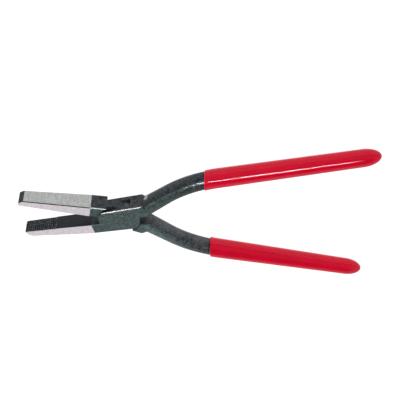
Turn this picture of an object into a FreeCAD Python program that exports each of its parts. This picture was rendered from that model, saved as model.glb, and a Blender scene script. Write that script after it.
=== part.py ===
import FreeCAD, Part
from collections import namedtuple
import math
import os

# Box-joint pliers with long flat jaws and two dipped grips, in millimetres.
# Row frame: origin where the pivot axis meets the underside of the joint, +Z up along the pivot axis,
# +X towards the handles, +Y the way the upper jaw opens. The rest pose is half open.
#
# Each half is drawn closed, in its own half frame: jaw at -X below the X axis, handle at +X above it,
# pivot on the Z axis, mid-plane at z = 0. The inner half is the mirror image in Y, and each half is then
# turned by HALF_OPENING the opposite way.

# Joint block
JOINT_THICKNESS = 10.5
TONGUE_THICKNESS = 5.2
SLOT_CLEARANCE = 0.1          # each side of the tongue
SHOULDER_RADIUS = 13.3        # concave shoulders on the inner half
SHOULDER_CLEARANCE = 0.2
TONGUE_RADIUS = 14.0
EDGE_CHAMFER = 0.4            # worn edges of the joint block
BLOCK_START_X = -18.66        # where the ground jaw meets the blackened block
OUTER_BLOCK_TOP = ((-14.0, 8.6), (16.33, 10.8))
OUTER_BLOCK_BOTTOM = -10.3
INNER_BLOCK_TOP = ((8.8, 9.3), (15.19, 10.85))
INNER_BLOCK_BOTTOM = ((-18.66, -9.35), (-9.0, -9.8))
BLOCK_JOIN_X = 6.0            # the blocks run this far in under the cheeks
CHEEK_TOP_CORNER = (-9.4, 8.9)
CHEEK_TOP_ROUND = 4.0
CHEEK_BOTTOM_CORNER = (8.2, -10.3)
CHEEK_BOTTOM_ROUND = 5.0
TONGUE_TOP = 8.8
TONGUE_BOTTOM = ((-15.0, -9.2), (15.0, -10.5))
CROTCH_Y = 1.0                # half of the gap kept between the two handle roots
ROOT_END_X = 16.5             # where the block's flat sides end at the crotch
ROOT_END_LEAN = 1.7           # how much further the block's end reaches at the shank's centreline

# Rivet
RIVET_RADIUS = 3.2
RIVET_RUNNING_CLEARANCE = 0.05
RIVET_RIM = 0.06

# Jaws: faces are given by their depth below the X axis, at the tip and at the root
Jaw = namedtuple("Jaw", "tip_gap root_gap tip_depth root_depth")
OUTER_JAW = Jaw(1.99, 1.71, 7.34, 10.6)
INNER_JAW = Jaw(1.12, 0.85, 5.75, 9.2)
JAW_TIP_X = -62.4
OUTER_NOSE_RADIUS = 4.5
INNER_NOSE_LENGTH = 2.9       # the inner half's nose is a flat chamfer
INNER_NOSE_DEPTH = 2.2
TIP_WIDTH = 8.52
ROOT_WIDTH = 10.5
JAW_EDGE_CHAMFER = 0.45
TOOTH_PITCH = 1.32
TOOTH_DEPTH = 0.55
TOOTH_LAND = 0.2
TOOTHED_LENGTH = 20.8
TEETH_ROWS = 7                # cuts along the jaw

# Handles: a straight shank, one bend, then a straight tang inside the grip
SHANK_ANGLE = 30.4
GRIP_ANGLE = 1.87
BEND_CORNER = (49.31, 23.24)  # where the two straight centrelines would meet
BEND_RADIUS = 70.8
HANDLE_END_X = 163.1
SHANK_START_X = 15.2          # on the centreline, inside the block
SHANK_HALF_WIDTH = 5.4
SHANK_CORNER = 4.0
NECK_X = 20.0                 # on the centreline, where the block's end has blended into the shank
BEND_HALF_WIDTH = 5.2
BEND_HALF_HEIGHT = 5.1
BEND_CORNER_RADIUS = 4.6
TANG_END_HALF_WIDTH = 4.1
TANG_CORNER = 3.6
TANG_END_CHAMFER = 1.5
TANG_SHORTER = 8.0            # the steel ends this far inside the grip's end

# Grips: dipped while the tool hangs half open, so each lip is square to the X axis at rest
Grip = namedtuple("Grip", "start_x start_radius end_radius")
OUTER_GRIP = Grip(58.7, 6.0, 5.35)
INNER_GRIP = Grip(61.4, 6.4, 5.35)
GRIP_CAP_LENGTH = 11.0
GRIP_LIP_CHAMFER = 0.3
LIP_TRIM_ANGLE = 4.0          # the sleeve is drawn this much longer round the bend, then cut at its lip
SEAM_TURN = 77.0              # keeps the sleeve's seam clear of the plane of symmetry

# Rest pose
HALF_OPENING = 11.25

# Cutting tools reach past the part: this far above and below its mid-plane, and this far in plan
THROUGH = 9.0
REACH = 40.0
NECK_INSET = 0.02             # keeps the blended neck just inside the shank's skin

HALF_THICKNESS = JOINT_THICKNESS / 2
V = FreeCAD.Vector
UP = V(0, 0, 1)


def prism(corners, low=-HALF_THICKNESS, high=HALF_THICKNESS):
    """A straight prism over a polygon in the XY plane."""
    points = [V(x, y, low) for x, y in corners]
    outline = Part.makePolygon(points + points[:1])
    return Part.Face(outline).extrude(V(0, 0, high - low))


def disc(radius, low, high):
    return Part.makeCylinder(radius, high - low, V(0, 0, low), UP)


def on_line(start, end, x):
    """The y of a straight line through two points, at x."""
    share = (x - start[0]) / (end[0] - start[0])
    return start[1] + share * (end[1] - start[1])


def joined(shapes):
    return shapes[0].fuse(shapes[1:]).removeSplitter()


def rounded_vertical(solid, radius, x, y):
    """Rounds the vertical edge nearest to a place in plan."""
    upright = [e for e in solid.Edges if len(e.Vertexes) == 2
               and abs(e.Vertexes[0].Z - e.Vertexes[1].Z) > 1
               and abs(e.Vertexes[0].X - e.Vertexes[1].X) < 1e-6]
    edge = min(upright, key=lambda e: math.hypot(e.Vertexes[0].X - x, e.Vertexes[0].Y - y))
    return solid.makeFillet(radius, [edge])


def chamfered_rim(solid, size, left_sharp):
    """Chamfers the edges of the joint block's two flat faces, except where left_sharp says so."""
    rim = []
    for edge in solid.Edges:
        ends = [v.Point for v in edge.Vertexes]
        middle = edge.valueAt((edge.FirstParameter + edge.LastParameter) / 2)
        on_face = all(abs(abs(p.z) - HALF_THICKNESS) < 1e-6 for p in ends + [middle])
        if on_face and not left_sharp(middle):
            rim.append(edge)
    return solid.makeChamfer(size, rim)


# ---------------------------------------------------------------- jaws

def jaw_inner_y(jaw, x):
    return on_line((JAW_TIP_X, -jaw.tip_gap), (BLOCK_START_X, -jaw.root_gap), x)


def jaw_outer_y(jaw, x):
    return on_line((JAW_TIP_X, -jaw.tip_depth), (BLOCK_START_X, -jaw.root_depth), x)


def jaw_plan(jaw):
    return prism([(JAW_TIP_X, -jaw.tip_gap), (BLOCK_START_X, -jaw.root_gap),
                  (BLOCK_START_X, -jaw.root_depth), (JAW_TIP_X, -jaw.tip_depth)], -THROUGH, THROUGH)


def finished_jaw(plan, jaw):
    """Tapers the jaw in thickness, breaks its outer long edges and cuts its teeth."""
    side = [V(JAW_TIP_X, 0, -TIP_WIDTH / 2), V(BLOCK_START_X, 0, -ROOT_WIDTH / 2),
            V(BLOCK_START_X, 0, ROOT_WIDTH / 2), V(JAW_TIP_X, 0, TIP_WIDTH / 2)]
    taper = Part.Face(Part.makePolygon(side + side[:1])).extrude(V(0, -REACH, 0))
    body = plan.common(taper)
    outer_long_edges = [e for e in body.Edges if e.Length > 30
                        and all(v.Y < -jaw.tip_depth + 0.5 for v in e.Vertexes)]
    body = body.makeChamfer(JAW_EDGE_CHAMFER, outer_long_edges)
    return body.cut(tooth_grooves(jaw))


def outer_jaw():
    """The lower jaw, with a rounded nose."""
    plan = rounded_vertical(jaw_plan(OUTER_JAW), OUTER_NOSE_RADIUS, JAW_TIP_X, -OUTER_JAW.tip_depth)
    return finished_jaw(plan, OUTER_JAW)


def inner_jaw():
    """The upper jaw, with a flat chamfered nose."""
    depth = INNER_JAW.tip_depth
    nose_end = JAW_TIP_X + INNER_NOSE_LENGTH
    nose = prism([(JAW_TIP_X - 1, -depth - 1), (JAW_TIP_X - 1, INNER_NOSE_DEPTH - depth),
                  (JAW_TIP_X, INNER_NOSE_DEPTH - depth),
                  (nose_end, jaw_outer_y(INNER_JAW, nose_end)), (nose_end, -depth - 1)],
                 -THROUGH, THROUGH)
    return finished_jaw(jaw_plan(INNER_JAW).cut(nose), INNER_JAW)


def groove(point, along, across, out, depth):
    """One V cut that starts at point, runs along, opens out of the face and has its sides across."""
    half = (TOOTH_PITCH - TOOTH_LAND) / 2
    slope = half / depth
    mouth = [point + across * (half + slope) + out, point - across * (half + slope) + out,
             point - out * depth]
    return Part.Face(Part.makePolygon(mouth + mouth[:1])).extrude(along)


def tooth_grooves(jaw):
    """Cuts across the jaw and cuts along it, which leave small pyramids."""
    face_slope = math.atan2(jaw.tip_gap - jaw.root_gap, BLOCK_START_X - JAW_TIP_X)
    forward = V(math.cos(face_slope), math.sin(face_slope), 0)
    out = V(-forward.y, forward.x, 0)
    start = V(JAW_TIP_X, -jaw.tip_gap, 0)
    across_jaw = []
    for i in range(int(TOOTHED_LENGTH / TOOTH_PITCH)):
        place = start + forward * (TOOTH_PITCH * (i + 0.75))
        across_jaw.append(groove(place - UP * THROUGH, UP * (2 * THROUGH), forward, out, TOOTH_DEPTH))
    along_jaw = []
    for i in range(TEETH_ROWS):
        level = (i - (TEETH_ROWS - 1) / 2) * TOOTH_PITCH
        place = start + UP * level - forward * TOOTH_PITCH
        along_jaw.append(groove(place, forward * (TOOTHED_LENGTH + TOOTH_PITCH / 2), UP, out, TOOTH_DEPTH))
    return across_jaw + along_jaw


# ---------------------------------------------------------------- handles

SHANK_WAY = V(math.cos(math.radians(SHANK_ANGLE)), math.sin(math.radians(SHANK_ANGLE)), 0)
GRIP_WAY = V(math.cos(math.radians(GRIP_ANGLE)), math.sin(math.radians(GRIP_ANGLE)), 0)
TANGENT_LENGTH = BEND_RADIUS * math.tan(math.radians(SHANK_ANGLE - GRIP_ANGLE) / 2)
BEND_START = V(*BEND_CORNER, 0) - SHANK_WAY * TANGENT_LENGTH
BEND_END = V(*BEND_CORNER, 0) + GRIP_WAY * TANGENT_LENGTH
BEND_CENTRE = BEND_START + V(SHANK_WAY.y, -SHANK_WAY.x, 0) * BEND_RADIUS
GRIP_LENGTH = (HANDLE_END_X - BEND_END.x) / GRIP_WAY.x


def on_shank(x):
    """The point of the shank's centreline at x."""
    return BEND_START + SHANK_WAY * ((x - BEND_START.x) / SHANK_WAY.x)


def section(centre, way, half_width, half_height, outer_corner, inner_corner):
    """A rounded rectangle, square to way, as a closed wire of four lines and four arcs."""
    side = V(-way.y, way.x, 0)
    edges = []
    last = None
    for a, b in ((1, 1), (-1, 1), (-1, -1), (1, -1)):
        corner = outer_corner if a > 0 else inner_corner
        diagonal = corner * (1 - math.sqrt(0.5))
        flat_end = (a * half_width, b * (half_height - corner))
        top_end = (a * (half_width - corner), b * half_height)
        middle = (a * (half_width - diagonal), b * (half_height - diagonal))
        first, second = (flat_end, top_end) if a * b > 0 else (top_end, flat_end)
        points = [centre + side * p[0] + UP * p[1] for p in (first, middle, second)]
        if last is not None:
            edges.append(Part.LineSegment(last, points[0]).toShape())
        edges.append(Part.Arc(*points).toShape())
        last = points[2]
    edges.append(Part.LineSegment(last, edges[0].Vertexes[0].Point).toShape())
    return Part.Wire(edges)


def steel_handle():
    """The shank, cut flat at the crotch, its bend, and the tapered tang inside the grip."""
    root = section(on_shank(SHANK_START_X), SHANK_WAY, SHANK_HALF_WIDTH, HALF_THICKNESS,
                   SHANK_CORNER, SHANK_CORNER)
    bend_size = (BEND_HALF_WIDTH, BEND_HALF_HEIGHT, BEND_CORNER_RADIUS, BEND_CORNER_RADIUS)
    bend_in = section(BEND_START, SHANK_WAY, *bend_size)
    bend_out = section(BEND_END, GRIP_WAY, *bend_size)
    tang_end = section(BEND_END + GRIP_WAY * (GRIP_LENGTH - TANG_SHORTER), GRIP_WAY,
                       TANG_END_HALF_WIDTH, TANG_END_HALF_WIDTH, TANG_CORNER, TANG_CORNER)
    crotch = Part.makeBox(REACH, REACH, 2 * THROUGH, V(0, CROTCH_Y - REACH, -THROUGH))
    shank = Part.makeLoft([root, bend_in], True, True).cut(crotch)
    bend = Part.Face(bend_in).revolve(BEND_CENTRE, UP, GRIP_ANGLE - SHANK_ANGLE)
    tang = Part.makeLoft([bend_out, tang_end], True, True)
    end_face = max(tang.Faces, key=lambda f: f.CenterOfMass.x)
    tang = tang.makeChamfer(TANG_END_CHAMFER, end_face.Edges)
    return [shank, bend, tang]


def grip(sleeve, handle):
    """A dipped sleeve from a lip on the bend to the rounded end, without the steel inside it."""
    lean = math.asin((BEND_CENTRE.x - sleeve.start_x) / BEND_RADIUS)
    start = BEND_CENTRE + V(-math.sin(lean), math.cos(lean), 0) * BEND_RADIUS
    early_lean = lean + math.radians(LIP_TRIM_ANGLE)
    early = BEND_CENTRE + V(-math.sin(early_lean), math.cos(early_lean), 0) * BEND_RADIUS
    early_way = V(math.cos(early_lean), math.sin(early_lean), 0)
    rim = Part.Circle(early, early_way, sleeve.start_radius).toShape()
    rim.rotate(early, early_way, SEAM_TURN)
    ring = Part.Face(Part.Wire(rim))
    curved = ring.revolve(BEND_CENTRE, UP, GRIP_ANGLE - math.degrees(early_lean))
    lip_way = V(math.cos(math.radians(HALF_OPENING)), -math.sin(math.radians(HALF_OPENING)), 0)
    before_lip = Part.makeCylinder(REACH / 2, REACH, start - lip_way * REACH, lip_way)
    curved = curved.cut(before_lip)

    cap_start = GRIP_LENGTH - GRIP_CAP_LENGTH
    cap = Part.Ellipse(V(GRIP_LENGTH, 0, 0), V(cap_start, sleeve.end_radius, 0), V(cap_start, 0, 0))
    profile = [Part.LineSegment(V(0, 0, 0), V(0, sleeve.start_radius, 0)).toShape(),
               Part.LineSegment(V(0, sleeve.start_radius, 0), V(cap_start, sleeve.end_radius, 0)).toShape(),
               Part.ArcOfEllipse(cap, 0, math.pi / 2).toShape(),
               Part.LineSegment(V(GRIP_LENGTH, 0, 0), V(0, 0, 0)).toShape()]
    straight = Part.Face(Part.Wire(Part.__sortEdges__(profile))).revolve(V(0, 0, 0), V(1, 0, 0), 360)
    straight.rotate(V(0, 0, 0), UP, GRIP_ANGLE)
    straight.translate(BEND_END)

    whole = curved.fuse(straight)
    lip_face = min(whole.Faces, key=lambda f: (f.CenterOfMass - start).Length)
    whole = whole.makeChamfer(GRIP_LIP_CHAMFER, lip_face.Edges)
    return whole.cut(handle)


# ---------------------------------------------------------------- the two halves

def root_end(corner):
    """The block's end in plan, from its outer corner over the shank's centreline to the crotch."""
    middle = on_shank(corner[0] + ROOT_END_LEAN)
    return [(ROOT_END_X, CROTCH_Y), (middle.x, middle.y), corner]


def end_blend(corner):
    """The outer side of the block's square end, blended into the round shank."""
    foot_outside = V(*corner, 0)
    foot_inside = on_shank(corner[0] + ROOT_END_LEAN)
    foot_side = foot_outside - foot_inside
    foot_way = V(foot_side.y, -foot_side.x, 0).normalize()
    foot = section((foot_outside + foot_inside) / 2, foot_way, foot_side.Length / 2, HALF_THICKNESS,
                   EDGE_CHAMFER, EDGE_CHAMFER)
    shank_side = V(-SHANK_WAY.y, SHANK_WAY.x, 0)
    neck = section(on_shank(NECK_X) + shank_side * (SHANK_HALF_WIDTH / 2), SHANK_WAY,
                   SHANK_HALF_WIDTH / 2, HALF_THICKNESS - NECK_INSET, SHANK_CORNER, EDGE_CHAMFER)
    return Part.makeLoft([foot, neck], True, True)


def at_jaw_or_shank(middle):
    """Edges of the block's flat faces that the jaw or the shank continues."""
    beside_jaw = abs(middle.x - BLOCK_START_X) < 1e-3
    return beside_jaw or middle.x > TONGUE_RADIUS


def outer_half(handle):
    """Lower jaw, slotted block with two cheeks, and upper handle."""
    bottom = OUTER_BLOCK_BOTTOM
    left, right = -TONGUE_RADIUS, TONGUE_RADIUS
    inner_y = jaw_inner_y(OUTER_JAW, BLOCK_START_X)
    jaw_block = prism([(BLOCK_START_X, inner_y), (BLOCK_START_X, bottom), (-BLOCK_JOIN_X, bottom),
                       (-BLOCK_JOIN_X, inner_y)])
    cheek = prism([(left, on_line(*OUTER_BLOCK_TOP, left)), (left, bottom), (right, bottom),
                   (right, on_line(*OUTER_BLOCK_TOP, right))])
    cheek = cheek.common(disc(SHOULDER_RADIUS - SHOULDER_CLEARANCE, -THROUGH, THROUGH))
    cheek = rounded_vertical(cheek, CHEEK_TOP_ROUND, *CHEEK_TOP_CORNER)
    cheek = rounded_vertical(cheek, CHEEK_BOTTOM_ROUND, *CHEEK_BOTTOM_CORNER)
    root = prism([(BLOCK_JOIN_X, CROTCH_Y)] + root_end(OUTER_BLOCK_TOP[1])
                 + [(BLOCK_JOIN_X, on_line(*OUTER_BLOCK_TOP, BLOCK_JOIN_X))])
    block = joined([jaw_block, cheek, root])
    block = chamfered_rim(block, EDGE_CHAMFER, at_jaw_or_shank)
    forging = joined([block, end_blend(OUTER_BLOCK_TOP[1]), outer_jaw()] + handle)
    slot = TONGUE_THICKNESS / 2 + SLOT_CLEARANCE
    forging = forging.cut(disc(TONGUE_RADIUS + SHOULDER_CLEARANCE, -slot, slot))
    return forging.cut(disc(RIVET_RADIUS, -THROUGH, THROUGH))


def inner_half(handle):
    """The other jaw, the tongue that passes through the slot, and the other handle."""
    inner_y = jaw_inner_y(INNER_JAW, BLOCK_START_X)
    jaw_block = prism([(BLOCK_START_X, inner_y), INNER_BLOCK_BOTTOM[0],
                       (-BLOCK_JOIN_X, on_line(*INNER_BLOCK_BOTTOM, -BLOCK_JOIN_X)),
                       (-BLOCK_JOIN_X, inner_y)])
    root = prism([(BLOCK_JOIN_X, CROTCH_Y)] + root_end(INNER_BLOCK_TOP[1])
                 + [INNER_BLOCK_TOP[0], (BLOCK_JOIN_X, on_line(*INNER_BLOCK_TOP, BLOCK_JOIN_X))])
    shoulders = jaw_block.fuse(root).cut(disc(SHOULDER_RADIUS, -THROUGH, THROUGH))
    shoulders = chamfered_rim(shoulders, EDGE_CHAMFER, at_jaw_or_shank)
    half_tongue = TONGUE_THICKNESS / 2
    left, right = TONGUE_BOTTOM
    tongue = prism([left, right, (right[0], TONGUE_TOP), (left[0], TONGUE_TOP)], -half_tongue, half_tongue)
    tongue = tongue.common(disc(TONGUE_RADIUS, -THROUGH, THROUGH))
    forging = joined([shoulders, tongue, end_blend(INNER_BLOCK_TOP[1]), inner_jaw()] + handle)
    return forging.cut(disc(RIVET_RADIUS + RIVET_RUNNING_CLEARANCE, -THROUGH, THROUGH))


def rivet():
    pin = Part.makeCylinder(RIVET_RADIUS, JOINT_THICKNESS, V(0, 0, -HALF_THICKNESS), UP)
    rims = [e for e in pin.Edges if len(e.Vertexes) == 1]
    return pin.makeChamfer(RIVET_RIM, rims)


def posed(shape, angle, mirrored):
    """From the half frame to the row frame: mirrored for the inner half, opened, lifted to z = 0."""
    placed = shape.mirror(V(0, 0, 0), V(0, 1, 0)) if mirrored else shape.copy()
    placed.rotate(V(0, 0, 0), UP, angle)
    placed.translate(V(0, 0, HALF_THICKNESS))
    return placed


def export(name, shape):
    solids = shape.Solids
    print(name, "solids", len(solids), "valid", shape.isValid(), "volume mm3", round(shape.Volume, 1))
    whole = solids[0] if len(solids) == 1 else Part.makeCompound(solids)
    whole.exportStep("parts/" + name + ".step")


os.makedirs("parts", exist_ok=True)
steel = steel_handle()
halves = [("outer", outer_half(steel), OUTER_GRIP, HALF_OPENING, False),
          ("inner", inner_half(steel), INNER_GRIP, -HALF_OPENING, True)]
for label, forging, sleeve, angle, mirrored in halves:
    export(label + "_half_forging", posed(forging, angle, mirrored))
    export(label + "_grip", posed(grip(sleeve, steel), angle, mirrored))
export("rivet", posed(rivet(), 0, False))
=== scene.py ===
import math

import bpy
from mathutils import Matrix, Vector


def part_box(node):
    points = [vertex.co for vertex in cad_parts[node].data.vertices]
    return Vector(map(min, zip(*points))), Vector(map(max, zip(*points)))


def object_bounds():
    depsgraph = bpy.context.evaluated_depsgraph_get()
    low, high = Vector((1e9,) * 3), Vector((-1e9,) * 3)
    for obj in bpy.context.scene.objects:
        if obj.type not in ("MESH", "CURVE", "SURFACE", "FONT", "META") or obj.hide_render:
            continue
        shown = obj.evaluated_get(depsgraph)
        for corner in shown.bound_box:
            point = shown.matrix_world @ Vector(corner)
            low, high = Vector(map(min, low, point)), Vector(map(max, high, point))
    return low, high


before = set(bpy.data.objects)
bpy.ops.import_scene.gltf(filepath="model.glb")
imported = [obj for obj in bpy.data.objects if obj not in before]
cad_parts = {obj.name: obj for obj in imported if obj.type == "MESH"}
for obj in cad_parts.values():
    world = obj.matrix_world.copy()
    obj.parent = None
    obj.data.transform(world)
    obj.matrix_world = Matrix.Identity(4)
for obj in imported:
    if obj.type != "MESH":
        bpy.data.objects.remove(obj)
cad_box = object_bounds()

# The row frame: pivot on the Z axis, handles at +X, the inner half's jaw opens towards +Y.
# Each half also has its own half frame, in millimetres: turned back by HALF_OPENING, and mirrored for the
# inner half, so that its jaw lies at -X below the X axis and its joint's mid-plane at z = 0.
MM = 0.001
HALF_OPENING = math.radians(11.25)
MID_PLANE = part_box("rivet")[1].z / 2 / MM
BLACK_FROM_X = -18.66          # the jaws are ground up to here, the rest is blackened
BLOCK_END_X = 18.5
SLOT_HALF_HEIGHT = 2.74        # just outside the slot that the tongue runs in
SLOT_RADIUS = 14.3
JAW_TIP_X = -62.4
TEETH_END_X = -41.6
OUTER_JAW_GAPS = (1.99, 1.71)  # inner face below the half frame's X axis, at the tip and at the block
INNER_JAW_GAPS = (1.12, 0.85)
TEETH_DEPTH = 0.9              # how far below the gripping face the teeth's colours reach
TEETH_EDGE_Z = 3.7             # beyond this the crests lie along the jaw's edge
HANDLE_START_X = 13.0
HANDLE_FULL_X = 21.0
RIDGE_X = (26.0, 46.0)         # the forged ridge along the handle, and where it has faded out at each end
RIDGE_FADE_X = (19.0, 56.0)
HIGHLIGHT_STREAK_X = (45.0, 51.0)           # the speckled painted highlight before the upper grip sets in along this stretch
BRIGHT_EDGE_FROM_Y = 5.0              # the joint's bright edges, partly worn and partly painted highlight, lie beyond this
OUTER_BRIGHT_EDGE_X = (18.4, 17.6)    # where they fade in, from none to full
INNER_BRIGHT_EDGE_X = (-7.0, -9.0)

# ---------------------------------------------------------------- camera

CAMERA_LENS_MM = 91.56
CAMERA_PLACE = Vector((0.06928, 0.50742, 0.37813))
CAMERA_RIGHT = Vector((0.999483, -0.019913, -0.025245))
CAMERA_UP = Vector((-0.008104, 0.603787, -0.797105))


def make_camera():
    camera = bpy.data.objects.new("camera", bpy.data.cameras.new("camera"))
    camera.data.lens = CAMERA_LENS_MM
    camera.data.sensor_width = 36.0
    camera.data.clip_start = 0.01
    backward = CAMERA_RIGHT.cross(CAMERA_UP)
    turn = Matrix((CAMERA_RIGHT, CAMERA_UP, backward)).transposed()
    camera.matrix_world = Matrix.Translation(CAMERA_PLACE) @ turn.to_4x4()
    bpy.context.scene.collection.objects.link(camera)
    bpy.context.scene.camera = camera


# ---------------------------------------------------------------- stage and light

FLOOR_REACH = 4.0
FLOOR_GAP = 0.0002             # under the lowest point
FLOOR_GREY = 0.12
KEY = {"direction": (-0.185, 0.30, 0.935), "distance": 1.3, "size": (0.40, 0.08), "energy": 7.5}
STRIP = {"direction": (-0.205, 0.30, 0.935), "distance": 1.4, "size": (0.38, 0.15), "energy": 8.0}
LIGHTS_AIM = Vector((0.05, 0, 0))
# the sky's strength along an axis: where it starts and stops changing, and its share before and after
SKY_FADES = (("Y", (0.05, 0.75), (0.95, 0.50)), ("Z", (0.66, 0.92), (1.0, 0.15)))


def make_stage():
    floor_mesh = bpy.data.meshes.new("floor")
    reach = FLOOR_REACH
    level = cad_box[0].z - FLOOR_GAP
    corners = [(x, y, level) for x, y in ((-reach, -reach), (reach, -reach), (reach, reach), (-reach, reach))]
    floor_mesh.from_pydata(corners, [], [(0, 1, 2, 3)])
    floor = bpy.data.objects.new("floor", floor_mesh)
    bpy.context.scene.collection.objects.link(floor)
    material = bpy.data.materials.new("lit_table")
    material.use_nodes = True
    shader = material.node_tree.nodes["Principled BSDF"]
    shader.inputs["Base Color"].default_value = (FLOOR_GREY, FLOOR_GREY, FLOOR_GREY, 1)
    shader.inputs["Roughness"].default_value = 0.9
    shader.inputs["Emission Color"].default_value = (1, 1, 1, 1)
    shader.inputs["Emission Strength"].default_value = 1.0
    floor_mesh.materials.append(material)


def area_light(name, direction, distance, size, energy):
    light = bpy.data.lights.new(name, "AREA")
    light.shape = "RECTANGLE"
    light.size, light.size_y = size
    light.energy = energy
    lamp = bpy.data.objects.new(name, light)
    towards = Vector(direction).normalized()
    across = towards.cross(Vector((1, 0, 0))).normalized()
    side = across.cross(towards)
    turn = Matrix((side, across, towards)).transposed()
    lamp.matrix_world = Matrix.Translation(LIGHTS_AIM + towards * distance) @ turn.to_4x4()
    bpy.context.scene.collection.objects.link(lamp)
    return lamp


def make_world():
    """A light tent: bright behind, darker towards +Y and overhead."""
    world = bpy.data.worlds.new("studio")
    world.use_nodes = True
    nodes, links = world.node_tree.nodes, world.node_tree.links
    place = nodes.new("ShaderNodeTexCoord")
    parts = nodes.new("ShaderNodeSeparateXYZ")
    links.new(place.outputs["Generated"], parts.inputs[0])
    strength = nodes.new("ShaderNodeMath")
    strength.operation = "MULTIPLY"
    for i, (axis, (start, end), (before, after)) in enumerate(SKY_FADES):
        fade = nodes.new("ShaderNodeMapRange")
        fade.interpolation_type = "SMOOTHSTEP"
        fade.inputs["From Min"].default_value = start
        fade.inputs["From Max"].default_value = end
        fade.inputs["To Min"].default_value = before
        fade.inputs["To Max"].default_value = after
        links.new(parts.outputs[axis], fade.inputs["Value"])
        links.new(fade.outputs["Result"], strength.inputs[i])
    links.new(strength.outputs[0], nodes["Background"].inputs["Strength"])
    nodes["Background"].inputs["Color"].default_value = (1, 1, 1, 1)
    bpy.context.scene.world = world


def make_lights():
    make_world()
    area_light("key", **KEY)
    # a wider strip behind the key, only for the soft line along the glossy grips
    strip = area_light("strip", **STRIP)
    strip.visible_diffuse = False
    bpy.context.scene.view_settings.view_transform = "Standard"


# ---------------------------------------------------------------- material building

class Graph:
    """Short calls for building one material's nodes."""

    def __init__(self, name):
        self.material = bpy.data.materials.new(name)
        self.material.use_nodes = True
        self.nodes = self.material.node_tree.nodes
        self.links = self.material.node_tree.links
        self.shader = self.nodes["Principled BSDF"]

    def node(self, kind, **inputs):
        made = self.nodes.new(kind)
        for name, value in inputs.items():
            self.feed(made.inputs[name.replace("_", " ")], value)
        return made

    def feed(self, socket, value):
        if isinstance(value, bpy.types.NodeSocket):
            self.links.new(value, socket)
        else:
            socket.default_value = value

    def math(self, operation, first, second=0.0):
        made = self.nodes.new("ShaderNodeMath")
        made.operation = operation
        self.feed(made.inputs[0], first)
        self.feed(made.inputs[1], second)
        return made.outputs[0]

    def product(self, *values):
        result = values[0]
        for value in values[1:]:
            result = self.math("MULTIPLY", result, value)
        return result

    def step(self, value, start, end):
        """0 at start, 1 at end, smooth between; start may be the larger."""
        made = self.node("ShaderNodeMapRange", Value=value, From_Min=start, From_Max=end)
        made.interpolation_type = "SMOOTHSTEP"
        return made.outputs["Result"]

    def span(self, value, low, high):
        """Takes 0..1 to low..high."""
        return self.node("ShaderNodeMapRange", Value=value, To_Min=low, To_Max=high).outputs["Result"]

    def mix(self, share, first, second):
        """Mixes two numbers."""
        made = self.nodes.new("ShaderNodeMix")
        self.feed(made.inputs[0], share)
        self.feed(made.inputs[2], first)
        self.feed(made.inputs[3], second)
        return made.outputs[0]

    def mix_colour(self, share, first, second):
        made = self.nodes.new("ShaderNodeMix")
        made.data_type = "RGBA"
        self.feed(made.inputs[0], share)
        for socket, value in ((made.inputs[6], first), (made.inputs[7], second)):
            self.feed(socket, value if isinstance(value, bpy.types.NodeSocket) else (*value, 1))
        return made.outputs[2]

    def tinted(self, colour, factor):
        """Multiplies a colour by a number."""
        made = self.nodes.new("ShaderNodeVectorMath")
        made.operation = "SCALE"
        self.feed(made.inputs[0], colour)
        self.feed(made.inputs["Scale"], factor)
        return made.outputs[0]

    def noise(self, vector, scale, detail=3.0, roughness=0.55):
        made = self.node("ShaderNodeTexNoise", Vector=vector, Scale=scale, Detail=detail, Roughness=roughness)
        return made.outputs["Fac"]

    def stretched(self, vector, x, y, z):
        made = self.nodes.new("ShaderNodeMapping")
        self.feed(made.inputs["Vector"], vector)
        made.inputs["Scale"].default_value = (x, y, z)
        return made.outputs[0]

    def bump(self, height, distance, strength=1.0, normal=None):
        made = self.node("ShaderNodeBump", Height=height, Distance=distance, Strength=strength)
        if normal is not None:
            self.feed(made.inputs["Normal"], normal)
        return made.outputs["Normal"]


def half_frame(graph, mirrored):
    """The surface's place (mm) and normal in the half frame, from the object's own coordinates."""
    place = graph.nodes.new("ShaderNodeTexCoord")
    flip = -1.0 if mirrored else 1.0
    results = []
    for output, scale, kind in (("Object", 1 / MM, "POINT"), ("Normal", 1.0, "VECTOR")):
        turned = graph.nodes.new("ShaderNodeMapping")
        turned.vector_type = kind
        turned.inputs["Rotation"].default_value = (0, 0, -HALF_OPENING)
        turned.inputs["Scale"].default_value = (scale, flip * scale, scale)
        if kind == "POINT":
            turned.inputs["Location"].default_value = (0, 0, -MID_PLANE)
        graph.links.new(place.outputs[output], turned.inputs["Vector"])
        results.append(turned.outputs[0])
    return results


def separate(graph, vector):
    made = graph.nodes.new("ShaderNodeSeparateXYZ")
    graph.links.new(vector, made.inputs[0])
    return made.outputs


# ---------------------------------------------------------------- steel

OXIDE_FLAT_DARK = (0.038, 0.060, 0.059)
OXIDE_FLAT_LIGHT = (0.108, 0.150, 0.145)
OXIDE_FORGED_DARK = (0.024, 0.027, 0.031)
OXIDE_FORGED_LIGHT = (0.068, 0.076, 0.080)
OXIDE_JAW = (0.031, 0.033, 0.039)
RIVET_RING = (0.13, 0.15, 0.125)
OXIDE_TEETH = (0.270, 0.310, 0.320)
OXIDE_GROOVE = (0.016, 0.019, 0.022)
GROUND_BROAD = (0.40, 0.41, 0.40)
GROUND_EDGE = (0.71, 0.66, 0.70)
# the painted lit patch where the upper handle leaves the joint
LIT_PATCH_STEEL = (0.28, 0.29, 0.29)
# painted light against the shade in the slot's recess
SLOT_PAINTED_FILL = (0.105, 0.110, 0.112)
# bare steel where worn, also used for painted highlights and a painted glint
BARE_STEEL_AND_HIGHLIGHT = (0.66, 0.68, 0.70)
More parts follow.
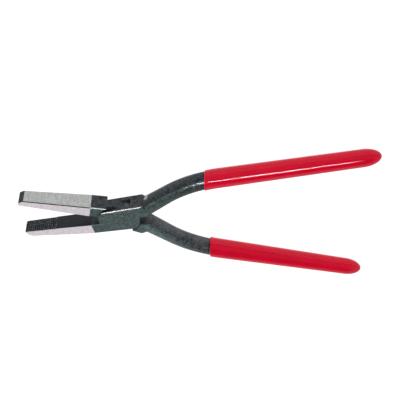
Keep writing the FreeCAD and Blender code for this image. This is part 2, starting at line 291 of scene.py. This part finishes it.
# painted light and shade: the inner half's handle is painted lighter, the outer half's a little darker
INNER_HANDLE_PAINTED_LIGHT = 1.6        # the oxide's colour on each handle, times that on the joint
OUTER_HANDLE_PAINTED_SHADE = 0.95
RIDGE_SHADE = 0.62
WORN_ROUGHNESS = 0.28
STEEL_GRAIN = 0.00012          # bump depths, in metres
RIVET_GRAIN = 0.00008
# painted glint and painted lit patch on the upper handle: centre (mm, half frame), reach, colour
HANDLE_GLINT_SPOTS = (((17.8, 10.7, 4.7), 1.1, BARE_STEEL_AND_HIGHLIGHT), ((19.6, 12.2, -1.0), 2.2, LIT_PATCH_STEEL))


def scaled(colour, factor):
    return tuple(min(channel * factor, 1.0) for channel in colour)


def oxide_colour(graph, place, flat):
    """Black oxide: greenish on the ground flats, blacker and blotchy on the forged skin."""
    cloud = graph.step(graph.noise(place, 0.28, 4.0, 0.6), 0.36, 0.66)
    grain = graph.step(graph.noise(place, 0.62, 3.0, 0.7), 0.38, 0.62)
    tone = graph.math("ADD", graph.product(cloud, 0.4), graph.product(grain, 0.6))
    on_flat = graph.mix_colour(tone, OXIDE_FLAT_DARK, OXIDE_FLAT_LIGHT)
    on_forged = graph.mix_colour(tone, OXIDE_FORGED_DARK, OXIDE_FORGED_LIGHT)
    return graph.mix_colour(flat, on_forged, on_flat), tone


def pivot_radius(graph, place):
    x, y, _ = separate(graph, place)
    return graph.math("SQRT", graph.math("ADD", graph.product(x, x), graph.product(y, y)))


def turning_rings(graph, place):
    """Fine concentric marks round the pivot, left by facing the joint."""
    radius = pivot_radius(graph, place)
    ring = graph.nodes.new("ShaderNodeCombineXYZ")
    graph.links.new(radius, ring.inputs[0])
    rings = graph.noise(ring.outputs[0], 1.9, 4.0, 0.7)
    fade = graph.step(radius, 15.5, 12.5)
    return rings, fade


def toothed_colour(graph, oxide, place, gaps):
    """The tooth crests are rubbed lighter, most of all along the edge, and the grooves stay black."""
    x, y, z = separate(graph, place)
    face = graph.node("ShaderNodeMapRange", Value=x, From_Min=JAW_TIP_X, From_Max=BLACK_FROM_X,
                      To_Min=-gaps[0], To_Max=-gaps[1]).outputs["Result"]
    depth = graph.math("SUBTRACT", face, y)
    ragged = graph.product(graph.math("SUBTRACT", graph.noise(place, 0.5), 0.5), 4.0)
    zone = graph.product(graph.step(graph.math("ADD", x, ragged), TEETH_END_X - 0.3, TEETH_END_X - 1.1),
                         graph.step(depth, TEETH_DEPTH + 0.3, TEETH_DEPTH))
    crest = graph.step(depth, 0.46, 0.12)
    rubbed = graph.span(graph.step(graph.noise(place, 0.6, 2.0), 0.36, 0.62), 0.30, 1.0)
    along_edge = graph.product(graph.step(z, TEETH_EDGE_Z - 0.4, TEETH_EDGE_Z),
                               graph.step(graph.noise(place, 0.35, 2.0), 0.40, 0.55))
    groove_colour = graph.mix_colour(zone, oxide, OXIDE_GROOVE)
    crest_colour = graph.mix_colour(along_edge, OXIDE_TEETH, BARE_STEEL_AND_HIGHLIGHT)
    return graph.mix_colour(graph.product(zone, crest, rubbed), groove_colour, crest_colour)


def handle_glints(graph, colour, place, normal):
    """Painted highlights: a glint and a painted lit patch where the upper handle leaves the joint, and a
    speckled painted highlight streak just before its grip.
    """
    x, _, _ = separate(graph, place)
    _, ny, nz = separate(graph, normal)
    for centre, reach, steel in HANDLE_GLINT_SPOTS:
        away = graph.nodes.new("ShaderNodeVectorMath")
        away.operation = "DISTANCE"
        graph.feed(away.inputs[0], place)
        away.inputs[1].default_value = centre
        colour = graph.mix_colour(graph.step(away.outputs["Value"], reach, reach / 2), colour, steel)
    # painted highlight: a speckled streak in ground steel's colour on the faces turned to catch the key
    # lamp's highlight
    highlight_band = graph.product(graph.step(nz, 0.74, 0.79), graph.step(nz, 0.88, 0.83), graph.step(ny, 0.3, 0.4))
    speckle = graph.step(graph.noise(place, 1.3, 3.0, 0.7), 0.48, 0.60)
    return graph.mix_colour(graph.product(highlight_band, speckle, graph.step(x, *HIGHLIGHT_STREAK_X)), colour, GROUND_BROAD)


def steel_material(name, mirrored):
    graph = Graph(name)
    place, normal = half_frame(graph, mirrored)
    x, y, z = separate(graph, place)
    _, ny, nz = separate(graph, normal)
    nz_size = graph.math("ABSOLUTE", nz)
    flat_z = graph.step(nz_size, 0.90, 0.97)
    broad = graph.step(ny, -0.90, -0.97)
    towards_inside = graph.step(ny, 0.75, 0.9)

    ragged = graph.product(graph.math("SUBTRACT", graph.noise(place, 1.4), 0.5), 0.5)
    before_block = graph.step(graph.math("ADD", x, ragged), BLACK_FROM_X + 0.06, BLACK_FROM_X - 0.06)
    in_block = graph.product(graph.step(x, BLOCK_END_X, BLOCK_END_X - 1),
                             graph.math("SUBTRACT", 1.0, before_block))
    ground = graph.product(before_block, graph.math("MAXIMUM", flat_z, broad))

    towards_z = graph.step(nz_size, 0.55, 0.95)
    # the flats' lighter greenish oxide: the joint's own flat faces, and a painted sheen on the handles'
    # z-facing sides, fading out by x = 60
    flats_and_handle_sheen = graph.product(towards_z, graph.step(x, 60.0, 14.0))
    oxide, tone = oxide_colour(graph, place, flats_and_handle_sheen)
    # painted light on the inner handle, painted shade on the outer one
    half_painted_light = INNER_HANDLE_PAINTED_LIGHT if mirrored else OUTER_HANDLE_PAINTED_SHADE
    handle_painted_light = graph.span(graph.step(x, HANDLE_START_X, HANDLE_FULL_X), 1.0, half_painted_light)
    ridge = graph.product(graph.step(nz_size, 0.58, 0.68), graph.step(nz_size, 0.82, 0.74),
                          *(graph.step(x, none, full) for none, full in zip(RIDGE_FADE_X, RIDGE_X)))
    oxide = graph.tinted(oxide, graph.product(handle_painted_light, graph.span(ridge, 1.0, RIDGE_SHADE)))
    oxide = graph.mix_colour(graph.product(before_block, graph.math("MAXIMUM", towards_inside, 0.85)),
                             oxide, OXIDE_JAW)
    oxide = toothed_colour(graph, oxide, place, INNER_JAW_GAPS if mirrored else OUTER_JAW_GAPS)
    rings, ring_fade = turning_rings(graph, place)
    ring_share = graph.product(ring_fade, flat_z)
    oxide = graph.mix_colour(graph.product(ring_share, graph.step(rings, 0.45, 0.75), 0.35),
                             oxide, OXIDE_FLAT_LIGHT)

    jaw_bevel = graph.product(before_block, graph.step(nz_size, 0.45, 0.58), graph.step(nz_size, 0.90, 0.80))
    oxide = graph.mix_colour(jaw_bevel, oxide, OXIDE_GROOVE)
    # painted light: the slot's faces are painted lighter against the shade that falls in its recess
    slot_fill = graph.product(graph.step(graph.math("ABSOLUTE", z), SLOT_HALF_HEIGHT + 0.06, SLOT_HALF_HEIGHT),
                            graph.step(pivot_radius(graph, place), SLOT_RADIUS + 0.3, SLOT_RADIUS))
    if mirrored:
        slot_fill = graph.product(slot_fill, graph.step(x, 1.0, 3.0))
    oxide = graph.mix_colour(slot_fill, oxide, SLOT_PAINTED_FILL)

    # grinding marks run across the broad faces and along the narrow ones
    cross_marks = graph.noise(graph.stretched(place, 5.0, 1.0, 0.35), 1.0, 5.0, 0.7)
    long_marks = graph.noise(graph.stretched(place, 0.22, 5.0, 1.0), 1.0, 5.0, 0.7)
    marks = graph.mix(flat_z, cross_marks, long_marks)
    patches = graph.step(graph.noise(place, 0.75, 5.0, 0.7), 0.3, 0.7)
    ground_tone = graph.math("ADD", graph.product(marks, 0.5), graph.product(patches, 0.5))
    broad_colour = graph.mix_colour(ground_tone, scaled(GROUND_BROAD, 0.55), scaled(GROUND_BROAD, 1.45))
    edge_colour = graph.mix_colour(ground_tone, scaled(GROUND_EDGE, 0.70), scaled(GROUND_EDGE, 1.30))
    ground_colour = graph.mix_colour(flat_z, broad_colour, edge_colour)

    # the block's broken edges are painted bright steel on the side where the two halves' shoulders meet:
    # partly wear, partly a painted highlight along those edges
    bevel = graph.product(graph.step(nz_size, 0.55, 0.66), graph.step(nz_size, 0.86, 0.76))
    rubbed = graph.step(graph.noise(place, 0.8, 4.0, 0.7), 0.22, 0.44)
    side = -1.0 if mirrored else 1.0
    on_top = graph.product(graph.step(graph.product(ny, side), 0.60, 0.68),
                           graph.step(graph.product(y, side), BRIGHT_EDGE_FROM_Y, BRIGHT_EDGE_FROM_Y + 1),
                           graph.step(x, *(INNER_BRIGHT_EDGE_X if mirrored else OUTER_BRIGHT_EDGE_X)))
    wear_and_highlight = graph.product(bevel, in_block, rubbed, on_top, 0.75 if mirrored else 1.0)

    colour = graph.mix_colour(ground, oxide, ground_colour)
    colour = graph.mix_colour(wear_and_highlight, colour, BARE_STEEL_AND_HIGHLIGHT)
    if not mirrored:
        # painted highlights on the upper handle
        colour = handle_glints(graph, colour, place, normal)
    roughness = graph.mix(ground, graph.span(tone, 0.32, 0.52), graph.span(marks, 0.38, 0.54))
    roughness = graph.mix(wear_and_highlight, roughness, WORN_ROUGHNESS)

    pits = graph.noise(place, 2.2, 6.0, 0.7)
    skin = graph.mix(ground, pits, marks)
    skin = graph.math("ADD", skin, graph.product(rings, ring_share, 0.8))
    graph.feed(graph.shader.inputs["Base Color"], colour)
    graph.feed(graph.shader.inputs["Roughness"], roughness)
    graph.feed(graph.shader.inputs["Normal"], graph.bump(skin, STEEL_GRAIN, 0.5))
    graph.shader.inputs["Metallic"].default_value = 1.0
    return graph.material


def rivet_material():
    graph = Graph("rivet_steel")
    place, _ = half_frame(graph, False)
    colour, tone = oxide_colour(graph, place, 1.0)
    rings, _ = turning_rings(graph, place)
    colour = graph.mix_colour(graph.product(graph.step(rings, 0.4, 0.75), 0.4), colour, RIVET_RING)
    graph.feed(graph.shader.inputs["Base Color"], colour)
    graph.feed(graph.shader.inputs["Roughness"], graph.span(tone, 0.34, 0.5))
    graph.feed(graph.shader.inputs["Normal"], graph.bump(rings, RIVET_GRAIN, 0.5))
    graph.shader.inputs["Metallic"].default_value = 1.0
    return graph.material


# ---------------------------------------------------------------- grips

VINYL = (0.64, 0.0018, 0.027)
VINYL_DEEP = (0.57, 0.0013, 0.022)
VINYL_ROUGHNESS = (0.09, 0.18)  # clean and scuffed
VINYL_SPECULAR = 0.18
VINYL_FLOW = 0.0004            # bump depths, in metres
VINYL_PEEL = 0.00004


def vinyl_material():
    graph = Graph("grip_vinyl")
    place = graph.nodes.new("ShaderNodeTexCoord").outputs["Object"]
    millimetres = graph.stretched(place, 1 / MM, 1 / MM, 1 / MM)
    cloud = graph.noise(millimetres, 0.09, 4.0)
    flow = graph.noise(graph.stretched(millimetres, 0.05, 0.35, 0.35), 1.0, 3.0)
    peel = graph.noise(millimetres, 1.6, 2.0)
    scuffs = graph.step(graph.noise(millimetres, 0.7, 8.0, 0.75), 0.55, 0.75)
    colour = graph.mix_colour(graph.step(cloud, 0.3, 0.7), VINYL_DEEP, VINYL)
    graph.feed(graph.shader.inputs["Base Color"], colour)
    graph.feed(graph.shader.inputs["Roughness"], graph.span(scuffs, *VINYL_ROUGHNESS))
    soft = graph.bump(flow, VINYL_FLOW, 0.15)
    graph.feed(graph.shader.inputs["Normal"], graph.bump(peel, VINYL_PEEL, 0.12, soft))
    graph.shader.inputs["Specular IOR Level"].default_value = VINYL_SPECULAR
    return graph.material


def dress(node, material):
    for slot in bpy.data.objects[node].material_slots:
        slot.material = material


make_camera()
make_stage()
make_lights()
dress("outer_half_forging", steel_material("outer_half_steel", False))
dress("inner_half_forging", steel_material("inner_half_steel", True))
dress("rivet", rivet_material())
vinyl = vinyl_material()
dress("outer_grip", vinyl)
dress("inner_grip", vinyl)
